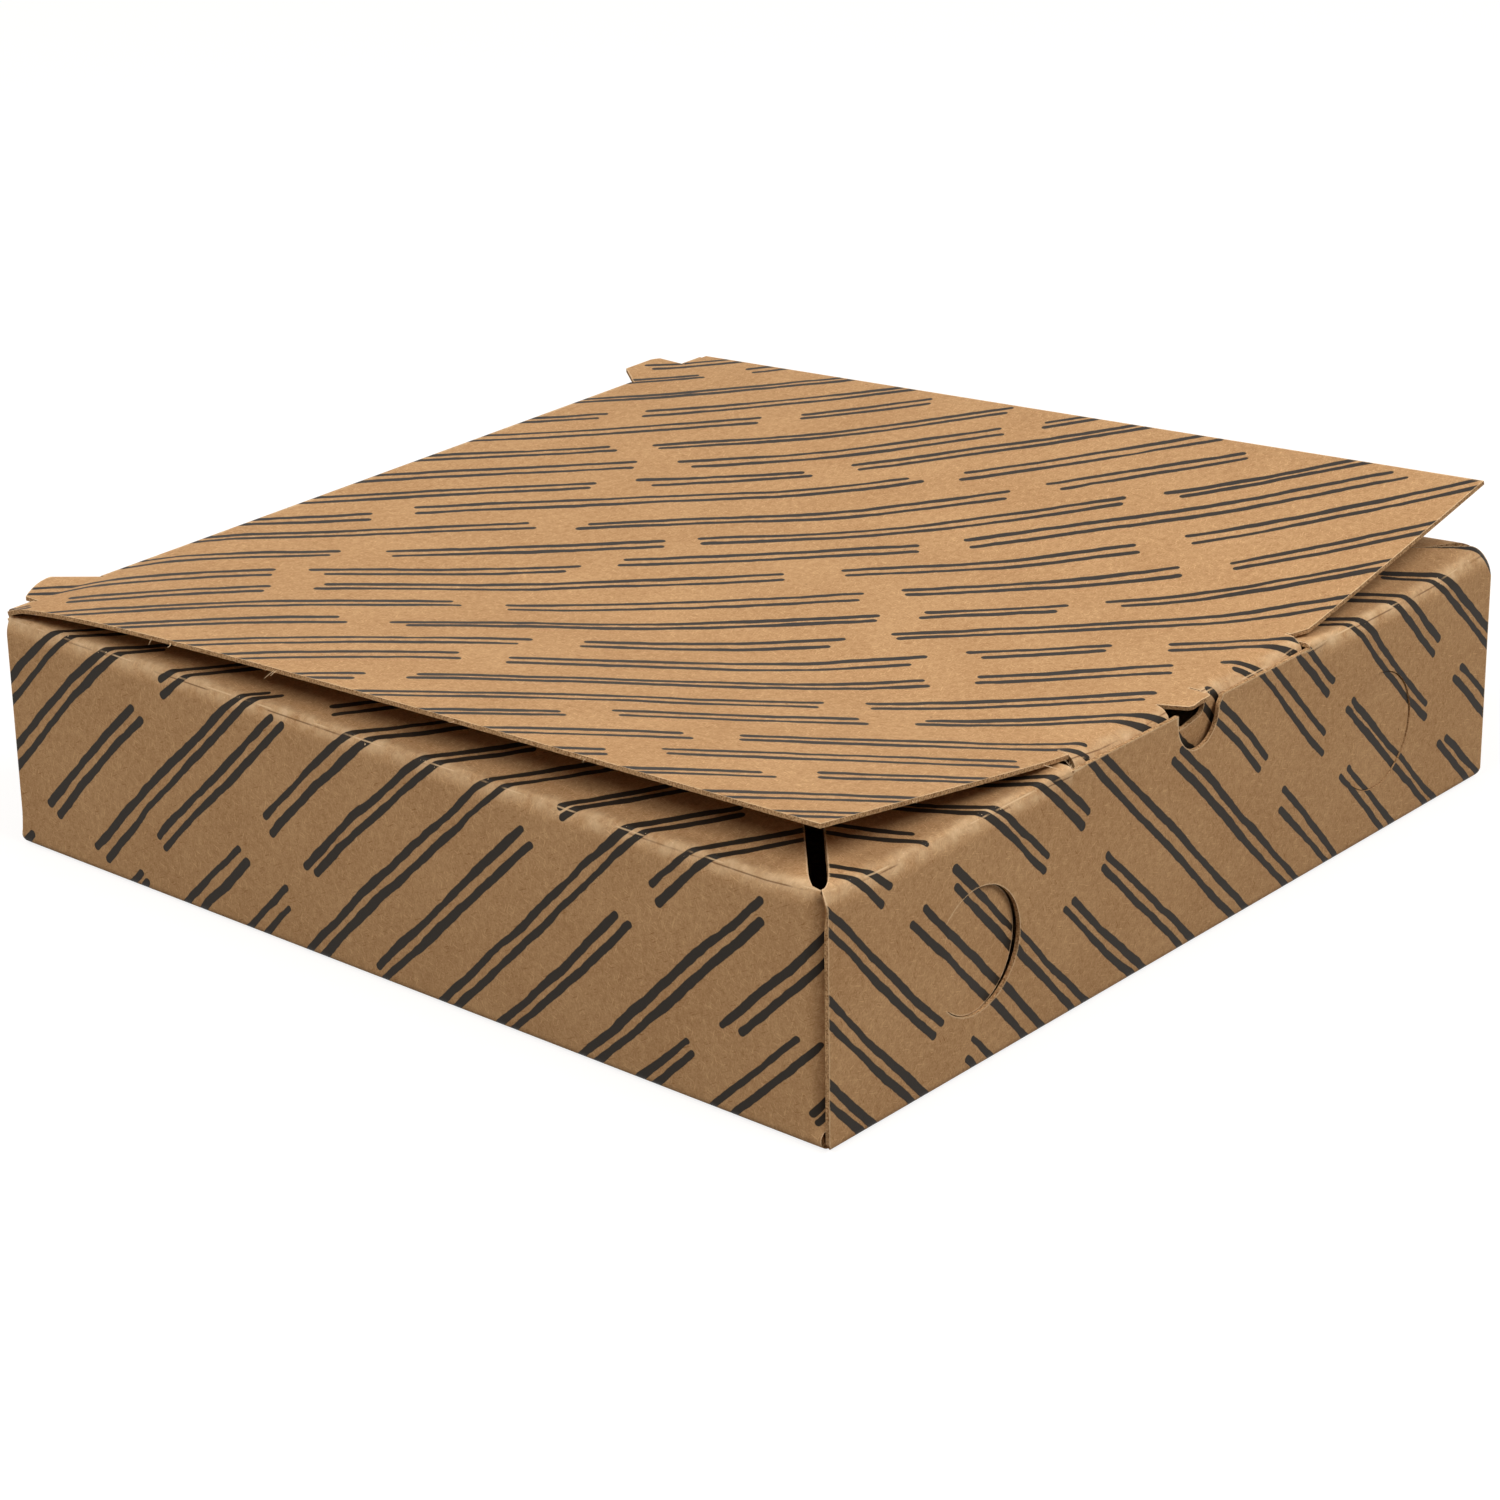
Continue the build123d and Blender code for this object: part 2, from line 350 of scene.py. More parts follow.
def placed(name, data):
    """A new object of the scene that shows the data."""
    piece = bpy.data.objects.new(name, data)
    bpy.context.scene.collection.objects.link(piece)
    return piece


def board_piece(name, flat, triangles, places, crease, edge):
    """A folded sheet with its thickness: the printed face, the plain face one board behind it along the
    normals, and the cut edges between. The flat places become its UV map; crease is each point's distance
    from a fold, and edge its distance from a cut."""
    count = len(flat)
    outer = triangles[:, ::-1]
    inside = places - board * sheet_normals(places, outer)
    edges = outer[:, [0, 1, 1, 2, 2, 0]].reshape(-1, 2)
    _, first, uses = np.unique(np.sort(edges, axis=1), axis=0, return_index=True, return_counts=True)
    a, b = edges[first[uses == 1]].T
    rim = np.stack([a, a + count, b + count, b], 1)
    mesh = bpy.data.meshes.new(name)
    faces = outer.tolist() + (triangles + count).tolist() + rim.tolist()
    mesh.from_pydata(np.concatenate([places, inside]).tolist(), [], faces)
    for material in (printed_kraft, plain_kraft, cut_kraft):
        mesh.materials.append(material)
    mesh.polygons.foreach_set("material_index", np.repeat([0, 1, 2], [len(outer), len(outer), len(rim)]))
    corner = np.zeros(len(mesh.loops), int)
    mesh.loops.foreach_get("vertex_index", corner)
    blank = mesh.uv_layers.new(name="blank")
    blank.uv.foreach_set("vector", flat[corner % count].astype(np.float32).ravel())
    for key, values in (("crease", crease), ("edge", edge)):
        attribute = mesh.attributes.new(key, "FLOAT", "POINT")
        attribute.data.foreach_set("value", np.tile(values, 2).astype(np.float32))
    mesh.shade_smooth()
    mesh.set_sharp_from_angle(angle=sharp_angle)
    piece = placed(name, mesh)
    return piece


# Materials


def linear(colour):
    """An sRGB hex colour as linear red, green, blue and full alpha."""
    srgb = np.array([int(colour[i:i + 2], 16) for i in (1, 3, 5)]) / 255
    return (*np.where(srgb <= 0.04045, srgb / 12.92, ((srgb + 0.055) / 1.055) ** 2.4), 1.0)


def add_node(tree, kind, inputs=(), out=0, **settings):
    """Adds one shader node with its settings, sets or links its inputs, and returns the output asked for.
    A second word of kind is the node's operation."""
    kind, _, operation = kind.partition(" ")
    node = tree.nodes.new("ShaderNode" + kind)
    if operation:
        node.operation = operation
    for key, value in settings.items():
        setattr(node, key, value)
    for key, value in dict(inputs).items():
        if isinstance(value, bpy.types.NodeSocket):
            tree.links.new(value, node.inputs[key])
        else:
            node.inputs[key].default_value = value
    return node if out is None else node.outputs[out]


def new_material(name):
    """An empty node material, and add_node for its tree."""
    material = bpy.data.materials.new(name)
    material.use_nodes = True
    material.node_tree.nodes.clear()
    return material, partial(add_node, material.node_tree)


kraft_dark_hex = "#976D45"
kraft_light_hex = "#D0A97C"
kraft_raw_hex = "#74502F"
# Pale of worn liner and loose fibres; along the fold crests it also paints a sheen.
kraft_worn_and_sheen_hex = "#E0C39C"
# Dark pulp specks; the same colour paints the shade along the folds' grooves.
speck_and_groove_shade_hex = "#6E4C30"
ink_hex = "#1E1C19"
sky_hex = "#FFF2E6"
white_hex = "#FFFFFF"
floor_hex = "#8B8885"
glow_hex = "#E9E9E9"
lamp_hex = "#FFFCF8"
per_mm = 1 / MM  # UV and Object coordinates are in metres, and the patterns count in millimetres


def pulp(add, place):
    """Kraft pulp seen close: soft clouds 18 mm wide, flocks of 1.4 mm, grain of 0.4 mm, and single pale and
    dark fibres about 2 mm long lying every way. Returns its tone, about 0.5, and its dark specks."""
    tone = 0.5
    for size, weight in ((18, 0.35), (1.4, 0.6), (0.4, 0.8)):
        patch = add("TexNoise", {"Vector": place, "Scale": 1 / size, "Detail": 2})
        level = add("MapRange", {"Value": patch, "To Min": -weight / 2, "To Max": weight / 2})
        tone = add("Math ADD", {0: level, 1: tone})
    for turn, weight in ((0.3, 0.45), (1.1, -0.4), (1.9, 0.45), (2.7, 0.4)):
        lay = {"Vector": place, "Rotation": (0, 0, turn), "Scale": (2.4, 0.24, 1)}
        lay = add("Mapping", lay, vector_type="TEXTURE")
        strand = add("TexNoise", {"Vector": lay, "Scale": 1, "Detail": 1})
        strand = add("MapRange", {"Value": strand, "From Min": 0.63, "From Max": 0.74, "To Max": weight})
        tone = add("Math ADD", {0: tone, 1: strand})
    spots = {"Vector": place, "Scale": 1 / 3.5}
    near = add("TexVoronoi", spots)
    chance = add("TexVoronoi", spots, "Color")
    size = add("MapRange", {"Value": chance, "From Min": 0.75, "From Max": 1.0, "To Max": 0.13})
    speck = add("Math SUBTRACT", {0: size, 1: near})
    speck = add("MapRange", {"Value": speck, "From Max": 0.06, "To Max": 0.7})
    return tone, speck


def pen_strokes(add, place):
    """Ink cover of rows of hand-drawn strokes in pairs, laid out by formula.

    place counts along a row in x and across it in y, in millimetres. A row is cut into dashes by jittered
    marks, and each dash holds two strokes: a stroke is all that lies within its half width of a line from
    its start to its end. Shift, spread and ends are hashed from the row and the dash, and width and wobble
    come from noise along the row."""
    pitch, dash, jitter, gap = 11.2, 74.0, 44.0, 6.0
    sway_by, shift_by, wobble_by, fray_by, blur = 2.6, 1.7, 0.5, 0.22, 0.07
    close, wide, thin, thick = 0.95, 1.75, 0.55, 0.92
    lead, uneven = 1.2, 3.5
    sway = add("TexNoise", {"Vector": place, "Scale": 1 / 70, "Detail": 1})
    sway = add("MapRange", {"Value": sway, "To Min": -sway_by, "To Max": sway_by})
    along, across = (add("SeparateXYZ", {"Vector": place}, axis) for axis in "XY")
    across = add("Math ADD", {0: across, 1: sway})
    row = add("Math SNAP", {0: across, 1: pitch})
    offset = add("TexWhiteNoise", {"W": row}, noise_dimensions="1D")
    along = add("Math MULTIPLY_ADD", {0: offset, 1: 4 * dash, 2: along})
    cell = add("Math SNAP", {0: along, 1: dash})

    def mark(place_of_cell):
        """Where the dash of a cell starts."""
        seat = add("CombineXYZ", {"X": place_of_cell, "Y": row})
        chance = add("TexWhiteNoise", {"Vector": seat}, noise_dimensions="2D")
        return add("Math MULTIPLY_ADD", {0: chance, 1: jitter, 2: place_of_cell})

    early = add("Math LESS_THAN", {0: along, 1: mark(cell)})
    cell = add("Math MULTIPLY_ADD", {0: early, 1: -dash, 2: cell})
    after = add("Math ADD", {0: cell, 1: dash})
    start = mark(cell)
    stop = add("Math SUBTRACT", {0: mark(after), 1: gap})
    share = add("MapRange", {"Value": along, "From Min": start, "From Max": stop})
    start = add("Math ADD", {0: start, 1: lead})

    chances = []
    for salt in (3.0, 5.0):
        seat = add("CombineXYZ", {"X": cell, "Y": row, "Z": salt})
        chance = add("TexWhiteNoise", {"Vector": seat}, "Color", noise_dimensions="3D")
        chances += [add("SeparateXYZ", {"Vector": chance}, axis) for axis in "XYZ"]
    shift = {"Value": chances[0], "To Min": -shift_by - pitch / 2, "To Max": shift_by - pitch / 2}
    shift = add("MapRange", shift)
    middle = add("Math SUBTRACT", {0: across, 1: row})
    middle = add("Math ADD", {0: middle, 1: shift})
    near = add("MapRange", {"Value": chances[1], "To Min": close, "To Max": wide})
    far = add("MapRange", {"Value": chances[2], "To Min": close, "To Max": wide})
    spread = add("Mix", {"Factor": share, "A": near, "B": far})

    covers = []
    for side, early_chance, late_chance in ((1, chances[3], chances[4]), (-1, chances[5], chances[0])):
        seat = add("CombineXYZ", {"X": along, "Y": row, "Z": 40.0 * side})
        wobble = add("TexNoise", {"Vector": seat, "Scale": 1 / 9, "Detail": 2})
        wobble = add("MapRange", {"Value": wobble, "To Min": -wobble_by, "To Max": wobble_by})
        swell = add("CombineXYZ", {"X": along, "Y": row, "Z": 90.0 * side})
        swell = add("TexNoise", {"Vector": swell, "Scale": 1 / 22, "Detail": 2})
        half = {"Value": swell, "From Min": 0.3, "From Max": 0.7, "To Min": thin, "To Max": thick}
        half = add("MapRange", half)
        line = add("Math MULTIPLY_ADD", {0: spread, 1: side, 2: wobble})
        aside = add("Math SUBTRACT", {0: middle, 1: line})
        first = add("Math MULTIPLY_ADD", {0: early_chance, 1: uneven, 2: start})
        last = add("Math MULTIPLY_ADD", {0: late_chance, 1: -uneven, 2: stop})
        short = add("Math SUBTRACT", {0: first, 1: along})
        long = add("Math SUBTRACT", {0: along, 1: last})
        beyond = add("Math MAXIMUM", {0: short, 1: long})
        beyond = add("Math MAXIMUM", {0: beyond, 1: 0.0})
        reach = add("CombineXYZ", {"X": beyond, "Y": aside})
        reach = add("VectorMath LENGTH", {0: reach}, "Value")
        covers.append(add("Math SUBTRACT", {0: reach, 1: half}))
    edge = add("Math MINIMUM", {0: covers[0], 1: covers[1]})
    fray = add("TexNoise", {"Vector": place, "Scale": 1 / 3, "Detail": 2})
    fray = add("MapRange", {"Value": fray, "To Min": -fray_by, "To Max": fray_by})
    edge = add("Math ADD", {0: edge, 1: fray})
    return add("MapRange", {"Value": edge, "From Min": blur, "From Max": -blur})


def wear_sheen_and_shade(add, place):
    """Marks of the printed face, from the distances to a fold's tight turn and to a cut: how pale a fold is,
    from scuffed liner and painted sheen, how much of the ink has gone, and the painted shade in the grooves.
    Folds are scuffed pale in patches, partly painted sheen along the crest, and lose ink in crisp specks.
    Along the turn the liner is cracked in a thin broken line, and beside it runs a dark broken line of
    painted shade in the groove. Cut edges show a pale fringe of fibres."""
    crease = add("Attribute", {}, "Fac", attribute_name="crease")
    crease = add("Math MULTIPLY", {0: crease, 1: per_mm})
    away = add("Math ABSOLUTE", {0: crease})
    # Pale band about a fold's crest: scuffed liner, and partly a painted sheen standing in for the crest's
    # highlight.
    band = {"Value": away, "From Min": 3.0, "From Max": 0.3}
    band = add("MapRange", band, interpolation_type="SMOOTHSTEP")
    patch = add("TexNoise", {"Vector": place, "Scale": 1 / 4, "Detail": 6, "Roughness": 0.65})
    rubbed_and_sheen = add("MapRange", {"Value": patch, "From Min": 0.36, "From Max": 0.72, "To Max": 0.85})
    rubbed_and_sheen = add("Math MULTIPLY", {0: band, 1: rubbed_and_sheen})
    fleck = add("TexNoise", {"Vector": place, "Scale": 1 / 0.6, "Detail": 2})
    fleck = add("Math MULTIPLY_ADD", {0: band, 1: 0.16, 2: fleck})
    fleck = add("MapRange", {"Value": fleck, "From Min": 0.84, "From Max": 0.88})
    lines = []
    for aside, core, size, least, most in ((0.0, 0.08, 9, 0.48, 0.8), (0.45, 0.06, 14, 0.52, 0.75)):
        line = add("Math ADD", {0: crease, 1: aside})
        line = add("Math ABSOLUTE", {0: line})
        line = add("MapRange", {"Value": line, "From Min": 0.2, "From Max": core})
        broken = add("TexNoise", {"Vector": place, "Scale": 1 / size, "Detail": 4})
        broken = add("MapRange", {"Value": broken, "From Min": least, "From Max": 0.58, "To Max": most})
        lines.append(add("Math MULTIPLY", {0: line, 1: broken}))
    # crack: the liner's break, which takes ink away. groove: a dark line beside it, painted shade of the
    # crease.
    crack, groove = lines
    edge = add("Attribute", {}, "Fac", attribute_name="edge")
    edge = add("Math MULTIPLY", {0: edge, 1: per_mm})
    fringe = add("TexNoise", {"Vector": place, "Scale": 1 / 0.5, "Detail": 3})
    depth = {"Value": fringe, "From Min": 0.3, "From Max": 0.7, "To Min": 0.1, "To Max": 0.5}
    depth = add("MapRange", depth)
    fringe = add("MapRange", {"Value": edge, "From Min": depth, "From Max": 0.05, "To Max": 0.8})
    lost = add("Math MAXIMUM", {0: fleck, 1: crack})
    lost = add("Math MAXIMUM", {0: lost, 1: fringe})
    pale = add("Math MAXIMUM", {0: rubbed_and_sheen, 1: lost})
    return pale, lost, groove


def kraft(name, printed):
    """Kraft liner board, uncoated and calendered: matt brown pulp with a faint sheen. The printed face
    carries flat dark ink, which cracks off along the folds."""
    material, add = new_material(name)
    blank = add("UVMap", uv_map="blank")
    place = add("Mapping", {"Vector": blank, "Scale": (per_mm, per_mm, 1)})
    tone, speck = pulp(add, place)
    colour = {0: tone, 6: linear(kraft_dark_hex), 7: linear(kraft_light_hex)}
    colour = add("Mix", colour, 2, data_type="RGBA")
    colour = add("Mix", {0: speck, 6: colour, 7: linear(speck_and_groove_shade_hex)}, 2, data_type="RGBA")
    roughness = add("MapRange", {"Value": tone, "To Min": 0.85, "To Max": 0.7})
    if printed:
        turn = {"Vector": blank, "Rotation": (0, 0, -math.pi / 4), "Scale": (per_mm, per_mm, 1)}
        ink = pen_strokes(add, add("Mapping", turn))
        pale, lost, groove = wear_sheen_and_shade(add, place)
        # Pale folds are scuffed liner with painted sheen; the dark groove line is painted shade.
        for cover, wear_and_shade_tint in ((pale, kraft_worn_and_sheen_hex), (groove, speck_and_groove_shade_hex)):
            colour = add("Mix", {0: cover, 6: colour, 7: linear(wear_and_shade_tint)}, 2, data_type="RGBA")
        full, loss = 0.98, 0.9
        held = add("Math MULTIPLY_ADD", {0: lost, 1: -loss, 2: full})
        ink = add("Math MULTIPLY", {0: ink, 1: held})
        colour = add("Mix", {0: ink, 6: colour, 7: linear(ink_hex)}, 2, data_type="RGBA")
        roughness = add("Mix", {"Factor": ink, "A": roughness, "B": 0.55})
    lumps = add("Bump", {"Strength": 0.4, "Distance": 0.05 * MM, "Height": tone})
    finish = {"Base Color": colour, "Roughness": roughness, "Normal": lumps, "Specular IOR Level": 0.15}
    add("OutputMaterial", {"Surface": add("BsdfPrincipled", finish)}, None)
    return material


def cut_edge():
    """The raw cut edge of kraft board: rough with fuzz, a slightly darker brown with
    pale tips."""
    material, add = new_material("kraft_cut_edge")
    place = add("TexCoord", out="Object")
    place = add("Mapping", {"Vector": place, "Scale": (per_mm, per_mm, per_mm)})
    fuzz = add("TexNoise", {"Vector": place, "Scale": 1 / 0.35, "Detail": 3})
    tone = add("MapRange", {"Value": fuzz, "From Min": 0.3, "From Max": 0.7})
    colour = {0: tone, 6: linear(kraft_raw_hex), 7: linear(kraft_light_hex)}
    colour = add("Mix", colour, 2, data_type="RGBA")
    lumps = add("Bump", {"Strength": 0.6, "Distance": 0.1 * MM, "Height": fuzz})
    finish = {"Base Color": colour, "Roughness": 0.9, "Normal": lumps, "Specular IOR Level": 0.15}
    add("OutputMaterial", {"Surface": add("BsdfPrincipled", finish)}, None)
    return material


printed_kraft = kraft("kraft_board_printed", True)
plain_kraft = kraft("kraft_board_plain", False)
cut_kraft = cut_edge()


def torn_fibre():
    """Loose kraft fibres: matt and pale, which shows them as light hairs against the brown board."""
    material, add = new_material("kraft_fibre")
    finish = {"Base Color": linear(kraft_worn_and_sheen_hex), "Roughness": 0.9, "Specular IOR Level": 0.15}
    add("OutputMaterial", {"Surface": add("BsdfPrincipled", finish)}, None)
    return material


loose_fibre = torn_fibre()


# Tray


def slotted_mitre(width, side):
    """One side of the slot between two rims: how far in from the corner, along the wall and behind it.

    The rims touch on a line that starts slot_shift off the diagonal and comes back to it by slot_turn, up to
    the slot's tip. From there the rim draws back from it by width, as a quarter of an ellipse. side is 1 for
    a side rim and -1 for the front one."""
    tip = slot_inset * ROOT2
    touch = np.linspace(slot_shift, tip, 7)[:-1]
    swing = np.linspace(0, QUARTER, 16)
    reach = rim_width * ROOT2 + width
    along = np.concatenate([touch, tip + slot_point * (1 - np.cos(swing)), [reach]])
    apart = np.concatenate([touch * 0, width * np.sin(swing), [width]]) + seam
    apart = apart + side * (slot_shift - slot_turn * along)
    return (along + apart) / ROOT2, (along - apart) / ROOT2


def plain_mitre():
    """A rim's end on the diagonal from a corner: how far in from it, along the wall and behind it."""
    inset = np.concatenate([np.linspace(0, 3 * MM, 12), [rim_width]])
    return inset, inset


def front_end():
    """Right end of the front wall and its rim, from the base outwards, as (s, length)."""
    along, behind = slotted_mitre(slot_front, -1)
    return cut(
        np.linspace((base_half[0], 0), (half_width, base_arc), 6),
        np.stack([half_width - along, rim_length(behind)], 1),
    )


def side_end(mitre, reach, fold, ease):
    """Front or rear end of a side wall, with its web and its rim's mitre, from the base outwards, as
    (t, length)."""
    along, behind = mitre
    start = reach - fold
    foot, head = wall_length(web_low), wall_length(web_top)
    tip = start + fold * QUARTER + web_length - fold
    below = 5
    climb = np.concatenate([np.linspace(base_arc, foot, below), np.linspace(head, crest, 20)])
    tight = corner_tightness(climb, ease)
    stand = np.stack([start + fold / tight * np.arcsin(tight), climb], 1)
    return cut(
        np.linspace((base_half[1], 0), (reach, base_arc), 6)[:-1],
        stand[:below],
        (tip, foot + web_chamfer),
        (tip, head - web_chamfer),
        stand[below:],
        np.stack([np.minimum(half_depth - along, reach), rim_length(behind)], 1)[rim_length(behind) > crest],
    )


def raw_front_edge():
    """Top of the front wall where it has no rim, with the thumb notch, left to right, as (s, length)."""
    edge = wall_length(wall_height)
    notch_centre = (notch_middle, edge - notch_depth + notch_radius)
    rim_end = np.linspace(rim_length(rim_width), crest, 60)
    return cut(
        upright(opening_left - slit, rim_end),
        (opening_left + slit, crest),
        (opening_left + slit, edge),
        (notch_middle - notch_radius, edge),
        arc(notch_centre, notch_radius, -math.pi, 0, 28),
        (notch_middle + notch_radius + notch_flare, edge),
        (opening_right - slit, edge),
        (opening_right - slit, crest),
        upright(opening_right + slit, rim_end[::-1]),
    )


def rear_top():
    """Top of the rear wall at the lid's crease, with the ears' notches, right to left, as (s, length)."""
    top = wall_length(hinge_top)
    bottom = wall_length(wall_height - ear_drop)
    near, far = ear_near - ear_clearance, ear_far + ear_clearance
    slope_top = wall_length(wall_height - board)
    half = cut(
        (rear_half, top),
        (far, top),
        (far, bottom),
        (near + ear_slope, bottom),
        (near, slope_top),
        (near, top),
    )
    return cut(half, (half * (-1, 1))[::-1])


def tray_outline():
    """The tray's cut line, right round: front wall, right wall, rear wall and left wall, as (s, t)."""
    front = front_end()
    ahead = side_end(slotted_mitre(slot_side, 1), front_reach, front_corner_fold, front_corner_ease)
    behind = side_end(plain_mitre(), rear_reach, rear_corner_fold, rear_corner_ease)
    base_s, base_t = base_half
    rear = np.linspace((base_s, 0), (rear_half, base_arc), 6)
    front_line = cut(front * (-1, 1), raw_front_edge(), front[::-1])
    rear_line = cut(rear, rear_top(), (rear * (-1, 1))[::-1])
    side_line = cut(ahead * (-1, 1), behind[::-1])
    return cut(
        front_line * (1, -1) + (0, -base_t),
        (side_line[:, ::-1] + (base_s, 0))[1:],
        (rear_line + (0, base_t))[1:],
        (side_line[::-1, ::-1] * (-1, 1) + (-base_s, 0))[1:-1],
    )


def front_t(height):
    """Flat place t of a height on the front wall."""
    return -base_half[1] - wall_length(height)


def vent_loop(chord_s, radius, chord):
    """A round cut that stops at a chord: the circle where it lies to the right of the chord, as (s, t)."""
    reach = math.pi - math.acos(chord / radius)
    return arc((chord_s + vent_chord, front_t(vent_z)), radius, -reach, reach, 72)


def wing_lift(s, v):
    """How far the lid's wings stand off the rims at s and at the share v of the way from crease to front.

    Along the crease a wing lifts by (u + sqrt(u^2 + w^2)) / 2, a soft corner of width w at the tab's end.
    From crease to front it rises in a straight line. The left one also swells as sin(pi sqrt(v))."""
    lift, v = 0, np.clip(v, 0, 1)
    for beside, height, swell in ((tab_left - s, lift_left, lift_swell), (s - tab_right, lift_right, 0)):
        u = beside / (lid_half - tab_right)
        soft = (u + np.sqrt(u * u + wing_soft**2)) / 2
        lift = lift + soft * (height * v + swell * np.sin(math.pi * np.sqrt(v)))
    return lift


def fold_tray(flat):
    """Folds the flat tray: each place goes out and up along its wall's section, and past the corner line a
    side wall turns inwards into its web. Between its folds a wall swells by the bow, a half wave each way.

    Beside the opening the front wall's top stands straight and curves in over the settling length. At the
    front right corner the tight folds are wider, and its tip is crushed round. The left and front rims
    spring up into the room below the lid's wings, with a soft start. The front corners are pushed up in
    proportion to the height."""
    s, t = flat.T
    past_s, past_t = np.abs(flat).T - base_half[:, None]
    side = (np.abs(s) > half_width + seam) | (past_s > past_t)
    front = ~side & (t < 0)
    along_front = rise(s, push_from_right, push_full) ** 2
    near_right = np.where(side, rise(-t, push_from_right, push_full_side), along_front) * (s > 0) * (t < 0)
    near_left = rise(np.where(side, -t, -s), push_from_left, push_full) * (s < 0) * (t < 0)
    radius = rim_fold + corner_swell * near_right
    settled = rise(np.maximum(opening_left - s, s - opening_right), 0, rim_settle)
    ease = rim_ease * np.where(side, 1, settled)
    bends = [wall_bends[0], (top_fold, rim_curve, ease), (crest, radius, QUARTER + rim_droop - ease)]
    raw = (t > 0) | ((s > opening_left) & (s < opening_right))
    out_t, up_t = np.where(raw, folded(past_t, plain_bends), folded(past_t, bends))
    out_s, up_s = folded(past_s, bends)
    tight = corner_tightness(past_s, np.where(t < 0, front_corner_ease, rear_corner_ease))
    fold = np.where(t < 0, front_corner_fold, rear_corner_fold)
    start = np.where(t < 0, front_reach, rear_reach) - fold
    reach, tuck = folded(np.abs(t) - start, [(0, fold / tight, tight * QUARTER)])
    length = np.where(side, past_s, past_t)
    wave = np.sin(math.pi * np.clip((length - base_arc) / (top_fold - base_arc), 0, 1))
    across = np.clip(np.where(side, t / half_depth, s / half_width), -1, 1)
    bow = wall_bow * wave * np.cos(QUARTER * across)
    x = np.where(side, np.sign(s) * (base_half[0] + out_s - tuck + bow), s)
    y = np.where(side, np.sign(t) * (start + reach), np.sign(t) * (base_half[1] + out_t + bow))
    z = np.where(side, up_s, up_t)
    lift = (corner_lift_right * near_right + corner_lift_left * near_left) * np.clip(z / wall_height, 0, 1)
    inner = half_width - rim_width
    share = (lid_start - np.where(side, y, -inner)) / wing_end
    room = wing_lift(np.where(side, np.sign(s) * inner, s), share)
    behind = np.maximum(np.where(side, half_width - np.abs(x), half_depth - np.abs(y)) - spring_inset, 0)
    spring = np.where(s < 0, rim_spring_left, rim_spring_right * front) * room / (rim_width - spring_inset)
    spring = spring * (np.sqrt(behind**2 + spring_soft**2) - spring_soft)
    rim = np.where(side, past_s, past_t * front) > crest
    end = np.clip((np.where(side, -t, s) - crush_from) / crush_run, 0, 1) * (s > 0) * (t < 0)
    crush = corner_crush * end**2 * rise(length, top_fold - crush_drop, crest)
    return np.stack([x, y, z + lift + spring * rim - crush], 1)


def crease_of_tray(flat):
    """How far each place lies past the start of its wall's tight top fold, far off where it has no rim."""
    s, t = flat.T
    past = (np.abs(flat) - base_half).max(axis=1) - crest
    raw = (t > 0) & (np.abs(s) < half_width) | ((s > opening_left) & (s < opening_right) & (t < 0))
    return np.where(raw, far_off, past)


def tray_grid():
    """Lattice of the tray: close rows over the folds and at the corner lines, wide ones between."""
    def out_from(base):
        """Stations from the middle outwards, over half the base, a wall and its rim."""
        return stations(
            (0, base, 6 * MM),
            (base, base + base_arc, 0.42 * MM),
            (base + base_arc, base + wall_length(web_low), 0.6 * MM),
            (base + wall_length(web_low), base + wall_length(web_top), 4 * MM),
            (base + wall_length(web_top), base + top_fold, 0.7 * MM),
            (base + top_fold, base + crest, 0.5 * MM),
            (base + crest, base + rim_level, 0.16 * MM),
            (base + rim_level, base + rim_length(rim_width), 5 * MM),
            (front_reach - front_corner_fold, front_reach + (QUARTER - 1) * front_corner_fold, 0.4 * MM),
            (rear_reach - rear_corner_fold, rear_reach + (QUARTER - 1) * rear_corner_fold, 0.2 * MM),
        )
    across, along = out_from(base_half[0]), out_from(base_half[1])
    grid = lattice(np.concatenate([-across, across[1:]]), np.concatenate([-along, along[1:]]))
    for chord_s in vent_chords.values():
        away = np.hypot(grid[:, 0] - chord_s - vent_chord, grid[:, 1] - front_t(vent_z))
        grid = grid[np.abs(away - vent_radius) > vent_margin]
    return grid


vent_hinges = {side: joints[f"vent_{side}_hinge"] for side in ("left", "right")}
vent_chords = {side: hinge["pos_m"][0] for side, hinge in vent_hinges.items()}
vent_ajar = {side: -math.radians(hinge["range_deg"][0]) for side, hinge in vent_hinges.items()}
holes = [vent_loop(chord_s, vent_radius, vent_chord + crease_half) for chord_s in vent_chords.values()]
outline = tray_outline()
flat, triangles = cut_sheet([outline, *holes], tray_grid(), 4 * MM)
edge = cut_distance(flat, [outline, holes[0]], [(1, crease_t), (0, vent_chords["left"] - crease_half)])
tray = board_piece("box_tray", flat, triangles, fold_tray(flat), crease_of_tray(flat), edge)
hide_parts("tray")
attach(tray, "tray")


# Vent flaps


def fold_flap(flat, side):
    """A vent flap in the front wall's plane, turned inwards about its chord on the wall's inside face.
    Across the bending strip at the chord the turn grows from nothing by a smooth step."""
    s, t = flat.T
    away = s - vent_chords[side]
    turn = vent_ajar[side] * rise(away, -crease_half, crease_half)
    x = vent_chords[side] + away * np.cos(turn) + board * np.sin(turn)
    y = tray_low.y + board + away * np.sin(turn) - board * np.cos(turn)
    return np.stack([x, y, base_fold - base_arc - base_half[1] - t], 1)


def strip_of_board(across, along):
    """Flat points and triangles of an uncut strip: a lattice, each of its cells two triangles."""
    index = np.arange(len(across) * len(along)).reshape(len(along), len(across))
    a, b, c, d = index[:-1, :-1], index[:-1, 1:], index[1:, 1:], index[1:, :-1]
    triangles = np.stack([a, b, c, a, c, d], -1).reshape(-1, 3)
    return lattice(across, along), triangles


